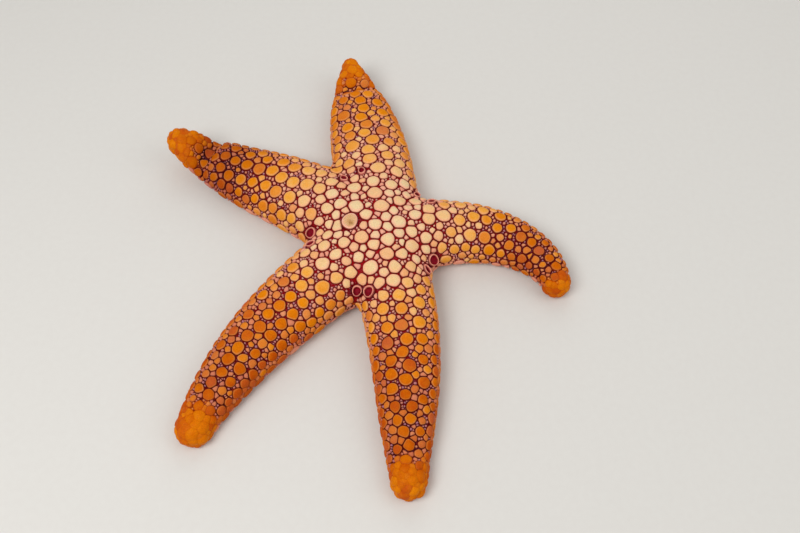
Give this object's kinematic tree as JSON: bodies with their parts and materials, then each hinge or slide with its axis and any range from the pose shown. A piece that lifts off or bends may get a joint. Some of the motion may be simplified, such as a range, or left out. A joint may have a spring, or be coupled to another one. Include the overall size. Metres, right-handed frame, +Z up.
{
  "type": "sea star",
  "caption": "Still, life-size model of a granular sea star: domed disc, five plump arms in a mosaic of convex plates, sieve plate, furrows with tube feet below.",
  "frame": {"origin": "on the floor, under the middle of the box around the whole animal; the middle of the disc is 3.8 mm to +X and 2.7 mm to +Y of it", "axes": "+Z up, out of the animal's back; +Y towards the far arms (arm_b), the longer way across; +X towards arm_a"},
  "size_m": [0.0958, 0.115, 0.0126],
  "materials": {
    "disc_plates": "moist, satin, finely grained calcareous plates, cream-yellow with peach rims",
    "arm_plates": "moist, satin, finely grained calcareous plates, golden orange with salmon rims",
    "tip_plates": "moist, satin, knobbly, deep orange",
    "sieve_plate": "satin, finely grooved, olive-tan",
    "mouth_skin": "moist, soft, wrinkled",
    "groove_skin": "moist, soft, crimson on the disc to dark maroon on the arms",
    "tube_feet": "moist, translucent, pale orange"
  },
  "bodies": {
    "root": {"disc": "disc_plates", "madreporite": "sieve_plate", "mouth": "mouth_skin", "arm_a_base": "arm_plates", "arm_a_end": "arm_plates", "arm_a_tip": "tip_plates", "arm_b_base": "arm_plates", "arm_b_end": "arm_plates", "arm_b_tip": "tip_plates", "arm_c_base": "arm_plates", "arm_c_end": "arm_plates", "arm_c_tip": "tip_plates", "arm_d_base": "arm_plates", "arm_d_end": "arm_plates", "arm_d_tip": "tip_plates", "arm_e_base": "arm_plates", "arm_e_end": "arm_plates", "arm_e_tip": "tip_plates"}
  },
  "joints": []
}
